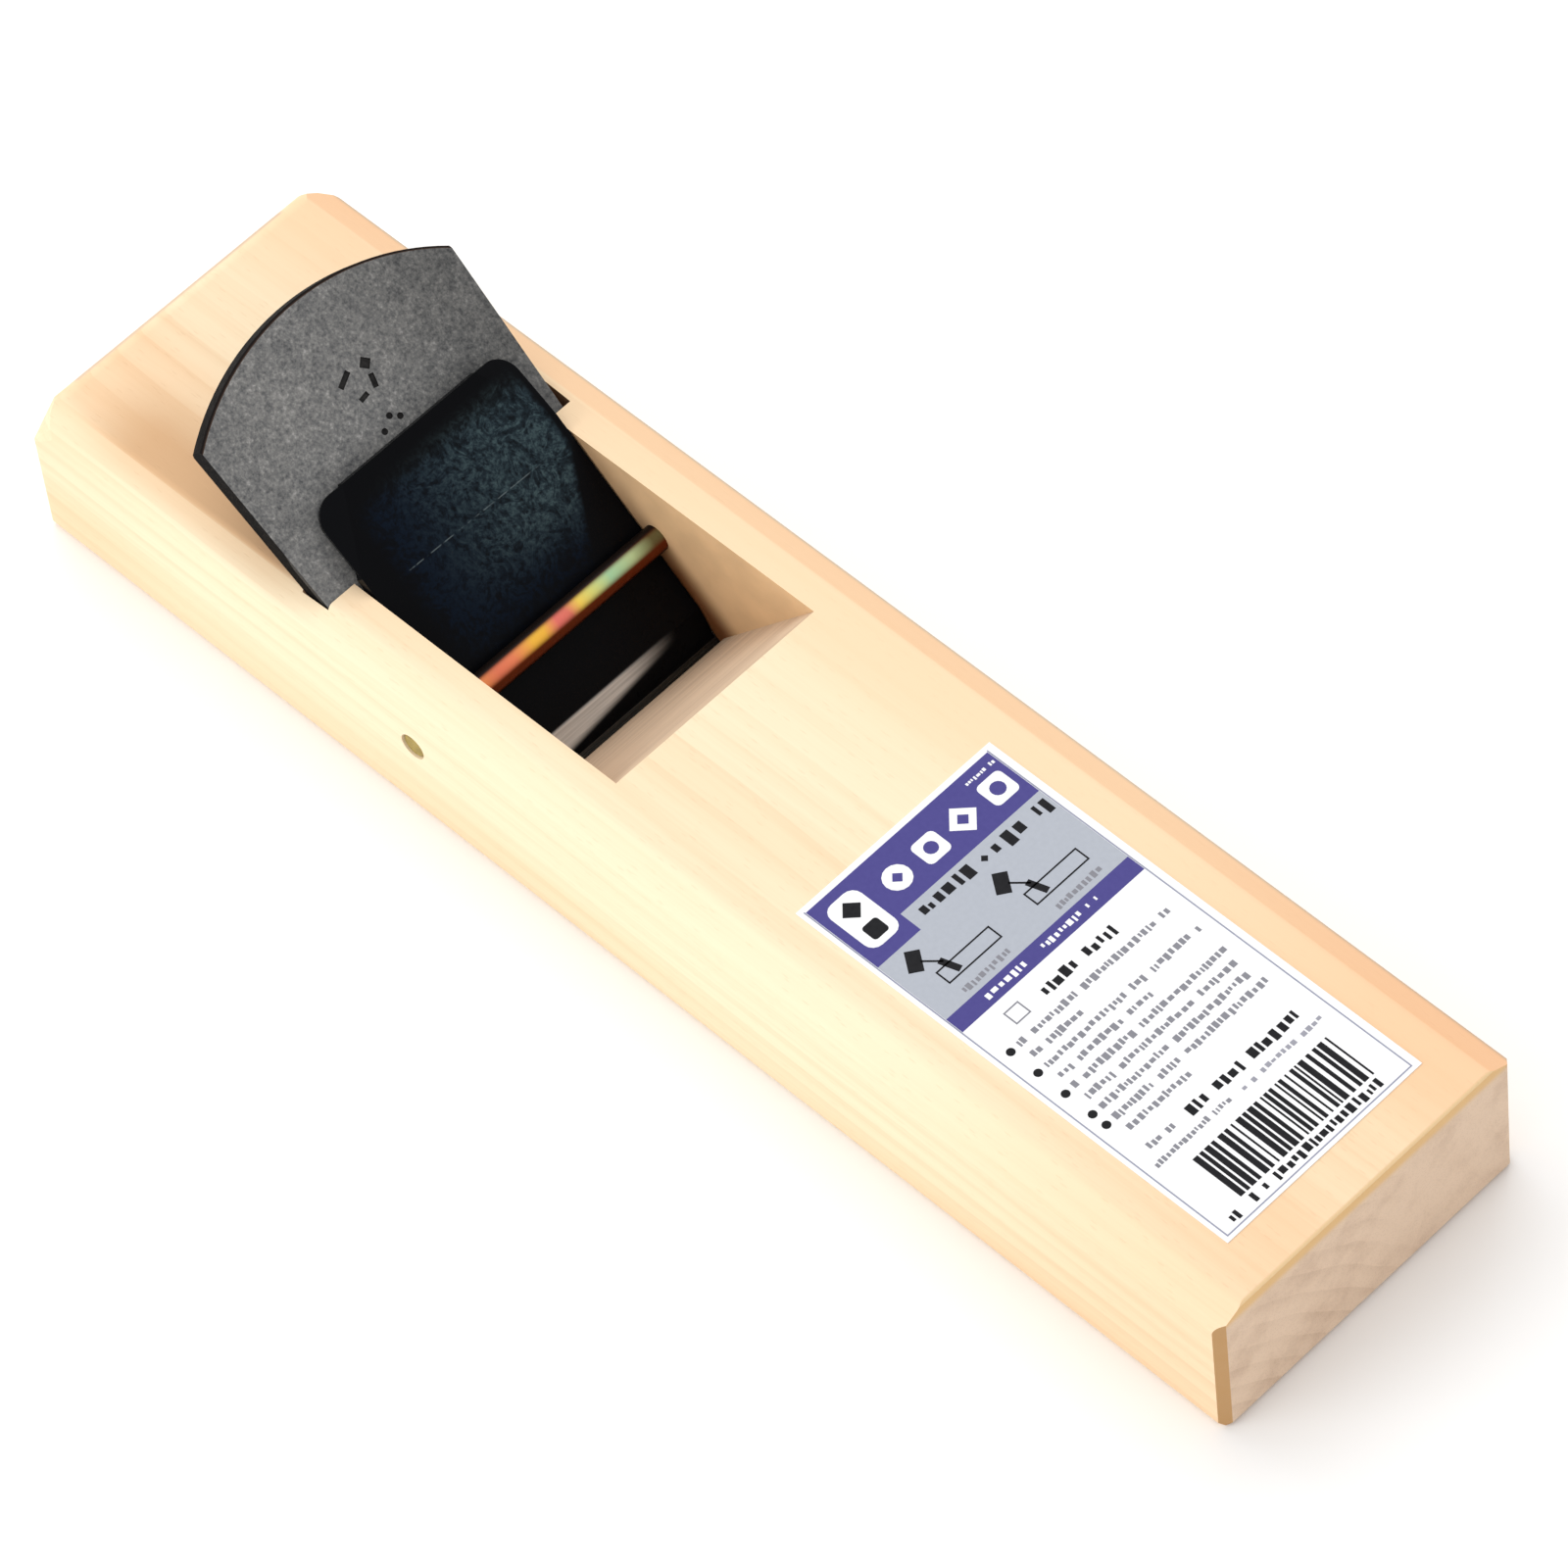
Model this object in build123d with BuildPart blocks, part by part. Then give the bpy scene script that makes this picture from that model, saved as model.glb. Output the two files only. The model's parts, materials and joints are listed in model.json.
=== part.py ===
from build123d import *
from math import cos, radians, sin
import os

# A small two-iron wooden hand plane of the Japanese pull type.
#
# The wooden stock lies along X with its sole on Z = 0. The throat opens on top, and the laminated
# cutting iron lies on a sloping bed behind it, held by its edges in two side grooves. A chip
# breaker lies on the iron and is wedged under a round steel cross pin. A printed paper label is
# glued to the stock. Units are millimetres.
#
# Origin: the middle of the sole. +X points towards the labelled end, +Z up.

# ---- stock ----
stock_length = 210.0
stock_width = 52.6
stock_height = 24.1
shoulder_run = 4.2  # soft bevel along the long top edges, measured across the top
shoulder_drop = 2.1  # and measured down the side
shoulder_blend = 2.0  # radius that softens both edges of that bevel
sole_chamfer = 0.8
toe_corner = 1.25  # chamfer of the upright corners at the labelled end
heel_corner = 0.8  # radius of the upright corners at the other end
toe_round = 0.5  # top edge of the labelled end
heel_round = 3.0  # top edge of the other end
dub_height = 17.2  # above this height that end's two top corners are dubbed off
dub_growth = 1.33  # growth of their radius per unit of height
dub_turns = (18, 36, 54, 72)  # directions of the facets, in degrees from the end towards the side

# ---- throat ----
throat_half_width = 17.7
throat_front_x = -5.4
throat_knee = (-23.9, 1.8)  # X and Z where the sloping front wall turns down to the mouth
mouth_relief = 0.15  # the mouth widens by this much from the sole up to the knee

# ---- cutting iron: s runs up its front face from the top of the stock, t stands off that face ----
face_angle = 40.5  # front face above the sole
face_x = -52.75  # where the front face passes the top of the stock
iron_wedge = 1.2  # degrees between the front and back faces
iron_thickness = 2.75  # at the top of the stock
iron_half_width = 21.15
iron_taper = 0.039  # growth of the half width per unit of length
iron_offset = -1.3  # the iron is set over to one side of its grooves
iron_shoulder = 25.2
iron_crown_radius = 36.8
bevel_angle = 27.0
edge_height = 0.05  # the cutting edge stands this far inside the sole
eased_edge = 0.35
steel_thickness = 0.9
steel_end = 6.0  # the hard steel reaches this far up the iron
weld_slope = 20.0  # degrees at which it tapers out there
hollow_depth = 0.25
hollow_low = -33.5
hollow_high = 2.0
hollow_half_width = 16.0
hollow_radius = 8.0
mark_depth = 0.2
# plain punch marks: across and up the face, then length, width and turn in degrees
stroke_marks = ((-2.0, 20.6, 2.5, 0.8, 28), (1.2, 18.2, 0.8, 1.9, -15), (-1.2, 17.3, 1.5, 0.7, 10))
diamond_mark = (1.7, 20.6)
diamond_side = 1.4
dot_marks = ((0.0, 13.4), (1.2, 12.5), (-1.8, 12.2))
dot_radius = 0.45

# ---- side grooves ----
groove_half_width = 21.9
groove_offset = -0.8
bed_gap = 0.08
lip_gap = 0.15

# ---- cross pin and chip breaker ----
pin_radius = 2.0
pin_x = -34.6
pin_z = 14.1
pin_recess = 0.25
chip_gap = 0.05  # between the chip breaker and the pin
chip_tilt = 1.5  # degrees between its front face and the iron
chip_half_width = 17.45
chip_thickness = 1.65
chip_top = 11.0
chip_edge = -35.8
chip_bevel_length = 4.5
chip_bevel_rise = 1.55
chip_corner_radius = 3.6
chip_clip = 2.0
ear_width = 5.6
ear_length = 11.0
ear_bend = 17.0  # degrees

# ---- label ----
label_length = 72.6
label_width = 34.6
label_centre = (61.6, 0.3)
label_thickness = 0.12

# ---- cutting shapes ----
past = 12.0  # how far they run past what they cut
below_sole = 1.0  # and how far below the sole, short of where bed and front wall would cross

# ---- derived places ----
half_width = stock_width / 2
face_rad = radians(face_angle)
up_the_iron = Vector(-cos(face_rad), 0, sin(face_rad))
face_normal = Vector(sin(face_rad), 0, cos(face_rad))
across = Vector(0, 1, 0)
face_origin = Vector(face_x, 0, stock_height)
edge_s = (edge_height - stock_height) / sin(face_rad)


def on_iron(s, t=0.0):
    """The point s up the iron's front face and t in front of it, at Y = 0."""
    return face_origin + up_the_iron * s + face_normal * t


def iron_plane(t=0.0):
    """The iron's front face, moved t forward: local X along +Y and local Y up the iron."""
    return Plane(origin=on_iron(0, t), x_dir=across, z_dir=face_normal)


def tilted_plane(s, t, degrees):
    """A plane through s, t on the iron, tilted so that it rises off the front face going up."""
    tilt = radians(degrees)
    normal = face_normal * cos(tilt) - up_the_iron * sin(tilt)
    return Plane(origin=on_iron(s, t), x_dir=across, z_dir=normal)


def heel_cut(side, turn):
    """A facet that dubs off the heel's top corner on the +Y (side 1) or -Y (side -1) side."""
    corner = Vector(-stock_length / 2, side * half_width, dub_height)
    to_end = cos(radians(turn))
    to_side = sin(radians(turn))
    lean = dub_growth * (to_end + to_side - 1)
    return Plane(origin=corner, z_dir=Vector(-to_end, side * to_side, lean))


def tapered_outline(half, offset, low, high):
    """An outline straight at both ends that widens up the iron; half is its half width at s = 0."""
    low_half = half + iron_taper * low
    high_half = half + iron_taper * high
    Polyline(
        (offset - low_half, low),
        (offset - high_half, high),
        (offset + high_half, high),
        (offset + low_half, low),
        close=True,
    )


back_plane = tilted_plane(0, -iron_thickness, -iron_wedge)
bed_plane = tilted_plane(0, -iron_thickness - bed_gap, -iron_wedge)
bevel_plane = tilted_plane(edge_s, 0, -bevel_angle)
weld_plane = tilted_plane(steel_end, -steel_thickness, weld_slope)

os.makedirs("parts", exist_ok=True)

# ---- grooves: the space the iron's edges slide in, open at the top and at the mouth ----
with BuildPart() as groove_space:
    with BuildSketch(iron_plane(lip_gap)):
        with BuildLine():
            tapered_outline(groove_half_width, groove_offset, edge_s - past, past)
        make_face()
    extrude(amount=-past)
    split(bisect_by=bed_plane, keep=Keep.TOP)

# ---- throat: the escapement between the cheeks, from the sloping front wall to the bed ----
bed_dir = bed_plane.y_dir
bed_foot = bed_plane.origin - bed_dir * ((bed_plane.origin.Z + below_sole) / bed_dir.Z)
bed_head = bed_plane.origin + bed_dir * (past / bed_dir.Z)
knee_x, knee_z = throat_knee
front_slope = (stock_height - knee_z) / (throat_front_x - knee_x)
with BuildPart() as throat_space:
    with BuildSketch(Plane.XZ):
        with BuildLine():
            Polyline(
                (throat_front_x + past / front_slope, stock_height + past),
                (knee_x, knee_z),
                (knee_x + mouth_relief, -below_sole),
                (bed_foot.X, bed_foot.Z),
                (bed_head.X, bed_head.Z),
                close=True,
            )
        make_face()
    extrude(amount=throat_half_width, both=True)

# ---- stock: three outlines meet, so that every outer edge has its bevel or round ----
with BuildPart() as stock:
    with BuildSketch(Plane.YZ) as cross_section:
        with BuildLine():
            Polyline(
                (-half_width + sole_chamfer, 0),
                (half_width - sole_chamfer, 0),
                (half_width, sole_chamfer),
                (half_width, stock_height - shoulder_drop),
                (half_width - shoulder_run, stock_height),
                (-half_width + shoulder_run, stock_height),
                (-half_width, stock_height - shoulder_drop),
                (-half_width, sole_chamfer),
                close=True,
            )
        make_face()
        upper = [v for v in cross_section.vertices() if v.Y > stock_height / 2]
        fillet(upper, radius=shoulder_blend)
    extrude(amount=stock_length / 2, both=True)
    with BuildSketch(Plane.XY) as plan:
        Rectangle(stock_length, stock_width)
        chamfer(plan.vertices().group_by(Axis.X)[-1], length=toe_corner)
        fillet(plan.vertices().group_by(Axis.X)[0], radius=heel_corner)
    extrude(amount=stock_height, mode=Mode.INTERSECT)
    with BuildSketch(Plane.XZ) as side_view:
        with Locations((0, stock_height / 2)):
            Rectangle(stock_length, stock_height)
        fillet(side_view.vertices().group_by(Axis.Y)[-1].sort_by(Axis.X)[0], radius=heel_round)
        fillet(side_view.vertices().group_by(Axis.Y)[-1].sort_by(Axis.X)[-1], radius=toe_round)
        chamfer(side_view.vertices().group_by(Axis.Y)[0], length=sole_chamfer)
    extrude(amount=stock_width, both=True, mode=Mode.INTERSECT)
    for side in (1, -1):
        for turn in dub_turns:
            split(bisect_by=heel_cut(side, turn), keep=Keep.BOTTOM)
    add(throat_space.part, mode=Mode.SUBTRACT)
    add(groove_space.part, mode=Mode.SUBTRACT)
    with BuildSketch(Plane.XZ):
        with Locations((pin_x, pin_z)):
            Circle(pin_radius)
    extrude(amount=stock_width, both=True, mode=Mode.SUBTRACT)
stock.part.label = "stock"
export_step(stock.part, "parts/stock.step")

# ---- cutting iron: the whole laminated blade, before it is parted into its two metals ----
shoulder_half = iron_half_width + iron_taper * iron_shoulder
edge_half = iron_half_width + iron_taper * edge_s
crown_top = iron_shoulder - (iron_crown_radius**2 - shoulder_half**2) ** 0.5 + iron_crown_radius
with BuildPart() as iron_blank:
    with BuildSketch(iron_plane()):
        with BuildLine():
            Polyline(
                (iron_offset + shoulder_half, iron_shoulder),
                (iron_offset + edge_half, edge_s),
                (iron_offset - edge_half, edge_s),
                (iron_offset - shoulder_half, iron_shoulder),
            )
            ThreePointArc(
                (iron_offset - shoulder_half, iron_shoulder),
                (iron_offset, crown_top),
                (iron_offset + shoulder_half, iron_shoulder),
            )
        make_face()
    extrude(amount=-past)
    split(bisect_by=back_plane, keep=Keep.TOP)
    split(bisect_by=bevel_plane, keep=Keep.TOP)
    crown = iron_blank.faces().filter_by(GeomType.CYLINDER)
    chamfer([e for e in crown.edges() if e.geom_type != GeomType.LINE], length=eased_edge)

# ---- hard steel: a thin layer forge welded to the iron's front face, tapering out at its top ----
with BuildPart() as steel_layer:
    with BuildSketch(iron_plane()):
        with BuildLine():
            tapered_outline(iron_half_width + past, iron_offset, edge_s - past, steel_end + past)
        make_face()
    extrude(amount=-steel_thickness)
    add(iron_blank.part, mode=Mode.INTERSECT)
    split(bisect_by=weld_plane, keep=Keep.TOP)

with BuildPart() as iron_steel:
    add(steel_layer.part)
    with BuildSketch(iron_plane()):
        with Locations((iron_offset, (hollow_low + hollow_high) / 2)):
            RectangleRounded(2 * hollow_half_width, hollow_high - hollow_low, hollow_radius)
    extrude(amount=-hollow_depth, mode=Mode.SUBTRACT)
iron_steel.part.label = "iron_steel"
export_step(iron_steel.part, "parts/iron_steel.step")

with BuildPart() as iron_body:
    add(iron_blank.part)
    add(steel_layer.part, mode=Mode.SUBTRACT)
    with BuildSketch(iron_plane()):
        for right, up, length, width, turn in stroke_marks:
            with Locations((right, up)):
                Rectangle(length, width, rotation=turn)
        with Locations(diamond_mark):
            Rectangle(diamond_side, diamond_side, rotation=45)
        with Locations(*dot_marks):
            Circle(dot_radius)
    extrude(amount=-mark_depth, mode=Mode.SUBTRACT)
iron_body.part.label = "iron_body"
export_step(iron_body.part, "parts/iron_body.step")

# ---- chip breaker: a thin plate with a ground edge and two corners bent down as ears ----
pin_offset = Vector(pin_x, 0, pin_z) - face_origin
pin_s = pin_offset.dot(up_the_iron)
pin_t = pin_offset.dot(face_normal) - pin_radius - chip_gap
chip_plane = tilted_plane(pin_s, pin_t, chip_tilt)
chip_low = chip_edge - pin_s
chip_high = chip_top - pin_s
ground_side = Plane(origin=chip_plane.origin, x_dir=chip_plane.y_dir, z_dir=chip_plane.x_dir)

with BuildPart() as flat_plate:
    with BuildSketch(chip_plane):
        with Locations((0, (chip_high + chip_low) / 2)):
            plate = Rectangle(2 * chip_half_width, chip_high - chip_low)
        fillet(plate.vertices().group_by(Axis.Y)[-1], radius=chip_corner_radius)
        chamfer(plate.vertices().group_by(Axis.Y)[0], length=chip_clip)
    extrude(amount=-chip_thickness)
    with BuildSketch(ground_side):
        with BuildLine():
            Polyline(
                (chip_low, -chip_bevel_rise),
                (chip_low + chip_bevel_length, 0),
                (chip_low + chip_bevel_length, past),
                (chip_low - past, past),
                (chip_low - past, -chip_bevel_rise),
                close=True,
            )
        make_face()
    extrude(amount=chip_half_width + past, both=True, mode=Mode.SUBTRACT)


def chip_point(x, y):
    """A point on the chip breaker's front face."""
    return chip_plane.from_local_coords(Vector(x, y, 0))


def bend_axis(side):
    """The line an ear is bent on, at the +Y (side 1) or -Y (side -1) top corner."""
    top = chip_point(side * (chip_half_width - ear_width), chip_high)
    low = chip_point(side * chip_half_width, chip_high - ear_length)
    return Axis(top, (low - top) * side)


def bend_plane(side):
    """The upright plane through the bend, facing the ear."""
    axis = bend_axis(side)
    facing = chip_plane.z_dir.cross(axis.direction)
    return Plane(origin=axis.position, x_dir=axis.direction, z_dir=facing)


def bent_ear(side):
    """The corner of the plate beyond the bend, bent down towards the iron."""
    with BuildPart() as corner:
        add(flat_plate.part)
        split(bisect_by=bend_plane(side), keep=Keep.TOP)
    return corner.part.rotate(bend_axis(side), -ear_bend)


ears = [bent_ear(side) for side in (1, -1)]
with BuildPart() as chip_breaker:
    add(flat_plate.part)
    for side in (1, -1):
        split(bisect_by=bend_plane(side), keep=Keep.BOTTOM)
    add(ears)
chip_breaker.part.label = "chip_breaker"
export_step(chip_breaker.part, "parts/chip_breaker.step")

# ---- cross pin: a round steel rod pressed through both cheeks ----
with BuildPart() as cross_pin:
    with BuildSketch(Plane.XZ):
        with Locations((pin_x, pin_z)):
            Circle(pin_radius)
    extrude(amount=half_width - pin_recess, both=True)
    chamfer(cross_pin.edges().filter_by(GeomType.CIRCLE), length=eased_edge)
cross_pin.part.label = "cross_pin"
export_step(cross_pin.part, "parts/cross_pin.step")

# ---- label: a sheet of printed paper glued to the top of the stock ----
with BuildPart() as label:
    with BuildSketch(Plane.XY.offset(stock_height)):
        with Locations(label_centre):
            Rectangle(label_length, label_width)
    extrude(amount=label_thickness)
label.part.label = "label"
export_step(label.part, "parts/label.step")
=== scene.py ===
import json
import random
from math import cos, pi, radians, sin

import bpy
from mathutils import Matrix, Vector


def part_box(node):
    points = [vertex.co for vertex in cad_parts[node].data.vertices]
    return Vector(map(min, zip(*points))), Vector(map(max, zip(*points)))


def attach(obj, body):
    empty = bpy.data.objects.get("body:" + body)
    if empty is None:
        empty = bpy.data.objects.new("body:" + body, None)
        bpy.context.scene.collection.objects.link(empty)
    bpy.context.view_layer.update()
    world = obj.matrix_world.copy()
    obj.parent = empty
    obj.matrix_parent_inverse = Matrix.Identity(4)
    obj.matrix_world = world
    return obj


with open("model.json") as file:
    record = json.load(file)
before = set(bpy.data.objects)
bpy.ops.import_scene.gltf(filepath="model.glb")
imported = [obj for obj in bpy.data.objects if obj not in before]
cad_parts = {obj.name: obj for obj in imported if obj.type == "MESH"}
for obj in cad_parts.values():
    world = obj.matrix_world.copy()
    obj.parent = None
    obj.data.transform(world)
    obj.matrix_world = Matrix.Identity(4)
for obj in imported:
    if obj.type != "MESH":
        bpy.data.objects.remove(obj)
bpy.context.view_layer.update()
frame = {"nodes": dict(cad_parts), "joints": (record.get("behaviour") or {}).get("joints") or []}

# The looks of a small wooden pull plane. Everything is in metres in the CAD frame: the sole is on
# Z = 0, +X points to the labelled end. Small sizes are written in millimetres and scaled by MM.
MM = 0.001

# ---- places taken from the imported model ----
STOCK_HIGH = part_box("stock")[1]
LABEL_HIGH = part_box("label")[1]
STEEL_LOW, STEEL_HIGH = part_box("iron_steel")
PIN_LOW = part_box("cross_pin")[0]
UP_THE_IRON = Vector(frame["joints"][0]["axis"]).normalized()
ALONG = Vector((1, 0, 0))
ACROSS = Vector((0, 1, 0))
UP = Vector((0, 0, 1))
FACE_NORMAL = ACROSS.cross(UP_THE_IRON)
if FACE_NORMAL.z < 0:
    FACE_NORMAL = -FACE_NORMAL
# the middle of the cutting edge, and the point above it where the iron's front face passes the top
# of the stock, from which the patterns on the irons are measured
CUTTING_EDGE = Vector((STEEL_HIGH.x, 0, STEEL_LOW.z))
FACE_TOP = CUTTING_EDGE + UP_THE_IRON * ((STOCK_HIGH.z - STEEL_LOW.z) / UP_THE_IRON.z)

# ---- camera: a long lens from above the labelled end ----
CAMERA_AZIMUTH = radians(50.476)
CAMERA_ELEVATION = radians(54.180)
CAMERA_ROLL = radians(-7.467)
CAMERA_DISTANCE = 1216.63 * MM
CAMERA_SLIDE = (2.90 * MM, 5.99 * MM)
CAMERA_LENS = 219.82
SENSOR_WIDTH = 36


def make_camera():
    a, e, r = CAMERA_AZIMUTH, CAMERA_ELEVATION, CAMERA_ROLL
    back = Vector((sin(a) * cos(e), -cos(a) * cos(e), sin(e)))
    level = Vector((cos(a), sin(a), 0))
    upright = back.cross(level)
    right = level * cos(r) + upright * sin(r)
    up = upright * cos(r) - level * sin(r)
    place = right * CAMERA_SLIDE[0] + up * CAMERA_SLIDE[1] + back * CAMERA_DISTANCE
    data = bpy.data.cameras.new("camera")
    data.sensor_width = SENSOR_WIDTH
    data.lens = CAMERA_LENS
    data.clip_start = 0.01
    data.clip_end = 20
    camera = bpy.data.objects.new("camera", data)
    bpy.context.scene.collection.objects.link(camera)
    turn = Matrix((right, up, back)).transposed().to_4x4()
    camera.matrix_world = Matrix.Translation(place) @ turn
    bpy.context.scene.camera = camera


# ---- light ----
def area_light(name, direction, distance, size, power):
    """A soft panel, size[0] by size[1], that faces the origin from that direction."""
    data = bpy.data.lights.new(name, "AREA")
    data.shape = "RECTANGLE"
    data.size = size[0]
    data.size_y = size[1]
    data.energy = power
    light = bpy.data.objects.new(name, data)
    bpy.context.scene.collection.objects.link(light)
    light.location = Vector(direction).normalized() * distance
    light.rotation_mode = "QUATERNION"
    light.rotation_quaternion = light.location.to_track_quat("Z", "Y")


RANGE_INPUTS = ("From Min", "From Max", "To Min", "To Max")
SKY_BRIGHT_SIDE = Vector((-0.50, -0.30, 0.81))
SKY_DARK = 0.74
SKY_BRIGHT = 1.08
SKY_FADE = (-0.1, 0.9)  # how far towards that side the sky is darkest, then brightest
FLOOR_GREY = (0.93, 0.93, 0.93)
FLOOR_WHITE = (0.95, 0.95, 0.945)
FLOOR_SIZE = 6
FLOOR_DROP = 0.05 * MM  # the floor lies this far below the sole


def make_light():
    area_light("key_light", direction=(-0.48, 0.30, 0.78), distance=1.55, size=(1.9, 1.2), power=8.5)
    area_light("side_light", direction=(-0.40, -0.90, 0.28), distance=1.1, size=(0.7, 0.7), power=4.2)
    world = bpy.data.worlds.new("studio")
    world.use_nodes = True
    tree = world.node_tree
    sky = tree.nodes["Background"]
    sky.inputs["Color"].default_value = (1, 1, 1, 1)
    where = tree.nodes.new("ShaderNodeTexCoord")
    lean = tree.nodes.new("ShaderNodeVectorMath")
    lean.operation = "DOT_PRODUCT"
    lean.inputs[1].default_value = SKY_BRIGHT_SIDE
    fade = tree.nodes.new("ShaderNodeMapRange")
    fade.interpolation_type = "SMOOTHSTEP"
    for name, number in zip(RANGE_INPUTS, (*SKY_FADE, SKY_DARK, SKY_BRIGHT)):
        fade.inputs[name].default_value = number
    tree.links.new(where.outputs["Generated"], lean.inputs[0])
    tree.links.new(lean.outputs["Value"], fade.inputs["Value"])
    tree.links.new(fade.outputs["Result"], sky.inputs["Strength"])
    bpy.context.scene.world = world
    bpy.context.scene.view_settings.view_transform = "Standard"


def make_floor():
    bpy.ops.mesh.primitive_plane_add(size=FLOOR_SIZE, location=(0, 0, -FLOOR_DROP))
    floor = bpy.context.object
    floor.name = "floor"
    shader = Shader("floor_white", roughness=0.9, specular=0.1)
    cloud = shader.noise(shader.place(), scale=3, detail=4)
    shader.colour(shader.ramp(cloud, [(0.3, FLOOR_GREY), (0.7, FLOOR_WHITE)]))
    floor.data.materials.append(shader.material)


# ---- a short way to write node materials ----
class Shader:
    """A procedural material whose patterns are placed in the CAD frame, in metres."""

    def __init__(self, name, roughness, specular):
        self.material = bpy.data.materials.new(name)
        self.material.use_nodes = True
        self.tree = self.material.node_tree
        self.surface = self.tree.nodes["Principled BSDF"]
        self.surface.inputs["Roughness"].default_value = roughness
        self.surface.inputs["Specular IOR Level"].default_value = specular

    def link(self, source, target):
        if isinstance(source, bpy.types.NodeSocket):
            self.tree.links.new(source, target)
        elif target.type == "RGBA" and len(source) == 3:
            target.default_value = (*source, 1)
        else:
            target.default_value = source

    def place(self, stretch=(1, 1, 1), shift=(0, 0, 0)):
        """The point on the object, stretched and then shifted."""
        where = self.tree.nodes.new("ShaderNodeTexCoord")
        mapping = self.tree.nodes.new("ShaderNodeMapping")
        mapping.inputs["Scale"].default_value = stretch
        mapping.inputs["Location"].default_value = shift
        self.tree.links.new(where.outputs["Object"], mapping.inputs["Vector"])
        return mapping.outputs["Vector"]

    def along(self, direction, start=(0, 0, 0)):
        """How far the point lies along a direction from start, in metres."""
        where = self.tree.nodes.new("ShaderNodeTexCoord")
        dot = self.tree.nodes.new("ShaderNodeVectorMath")
        dot.operation = "DOT_PRODUCT"
        dot.inputs[1].default_value = Vector(direction)
        self.tree.links.new(where.outputs["Object"], dot.inputs[0])
        return self.math("SUBTRACT", dot.outputs["Value"], Vector(direction).dot(Vector(start)))

    def noise(self, vector, scale=1.0, detail=2.0, rough=0.5, distortion=0.0):
        node = self.tree.nodes.new("ShaderNodeTexNoise")
        node.inputs["Scale"].default_value = scale
        node.inputs["Detail"].default_value = detail
        node.inputs["Roughness"].default_value = rough
        node.inputs["Distortion"].default_value = distortion
        self.tree.links.new(vector, node.inputs["Vector"])
        return node.outputs["Fac"]

    def cells(self, vector):
        node = self.tree.nodes.new("ShaderNodeTexVoronoi")
        node.inputs["Scale"].default_value = 1.0
        self.tree.links.new(vector, node.inputs["Vector"])
        return node.outputs["Distance"]

    def math(self, operation, a, b=0.0, c=0.0):
        node = self.tree.nodes.new("ShaderNodeMath")
        node.operation = operation
        for value, socket in zip((a, b, c), node.inputs):
            self.link(value, socket)
        return node.outputs["Value"]

    def band(self, value, low, high, soft):
        """1 where value lies between low and high, with edges that soften over soft."""
        rise = self.smooth(value, low - soft, low + soft)
        fall = self.smooth(value, high - soft, high + soft)
        return self.math("SUBTRACT", rise, fall)

    def smooth(self, value, low, high):
        node = self.tree.nodes.new("ShaderNodeMapRange")
        node.interpolation_type = "SMOOTHSTEP"
        self.link(value, node.inputs["Value"])
        node.inputs["From Min"].default_value = low
        node.inputs["From Max"].default_value = high
        return node.outputs["Result"]

    def span(self, value, low, high, to_low, to_high):
        node = self.tree.nodes.new("ShaderNodeMapRange")
        self.link(value, node.inputs["Value"])
        for name, number in zip(RANGE_INPUTS, (low, high, to_low, to_high)):
            node.inputs[name].default_value = number
        return node.outputs["Result"]

    def mix(self, factor, a, b, blend="MIX"):
        node = self.tree.nodes.new("ShaderNodeMix")
        node.data_type = "RGBA"
        node.blend_type = blend
        self.link(factor, node.inputs["Factor"])
        self.link(a, node.inputs[6])
        self.link(b, node.inputs[7])
        return node.outputs[2]

    def ramp(self, value, stops):
        node = self.tree.nodes.new("ShaderNodeValToRGB")
        marks = node.color_ramp.elements
        while len(marks) < len(stops):
            marks.new(1.0)
        for mark, (position, colour) in zip(marks, stops):
            mark.position = position
            mark.color = (*colour, 1)
        self.link(value, node.inputs["Fac"])
        return node.outputs["Color"]

    def colour(self, source):
        self.link(source, self.surface.inputs["Base Color"])

    def rough(self, source):
        self.link(source, self.surface.inputs["Roughness"])

    def bump(self, height, depth, strength=1.0):
        """height from 0 to 1 stands for a relief depth metres deep."""
        node = self.tree.nodes.new("ShaderNodeBump")
        node.inputs["Strength"].default_value = strength
        node.inputs["Distance"].default_value = depth
        self.link(height, node.inputs["Height"])
        self.tree.links.new(node.outputs["Normal"], self.surface.inputs["Normal"])

    def facing(self, direction):
        """How squarely the surface faces a direction: 1 is square on."""
        normal = self.tree.nodes.new("ShaderNodeNewGeometry")
        dot = self.tree.nodes.new("ShaderNodeVectorMath")
        dot.operation = "DOT_PRODUCT"
        dot.inputs[1].default_value = Vector(direction)
        self.tree.links.new(normal.outputs["Normal"], dot.inputs[0])
        return dot.outputs["Value"]

    def size(self, value):
        """The value without its sign."""
        return self.math("ABSOLUTE", value)

    def times(self, *values):
        """The product of several masks."""
        total = values[0]
        for value in values[1:]:
            total = self.math("MULTIPLY", total, value)
        return total

    def fall(self, value, low, high):
        """1 below low, 0 above high."""
        return self.math("SUBTRACT", 1.0, self.smooth(value, low, high))


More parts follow.
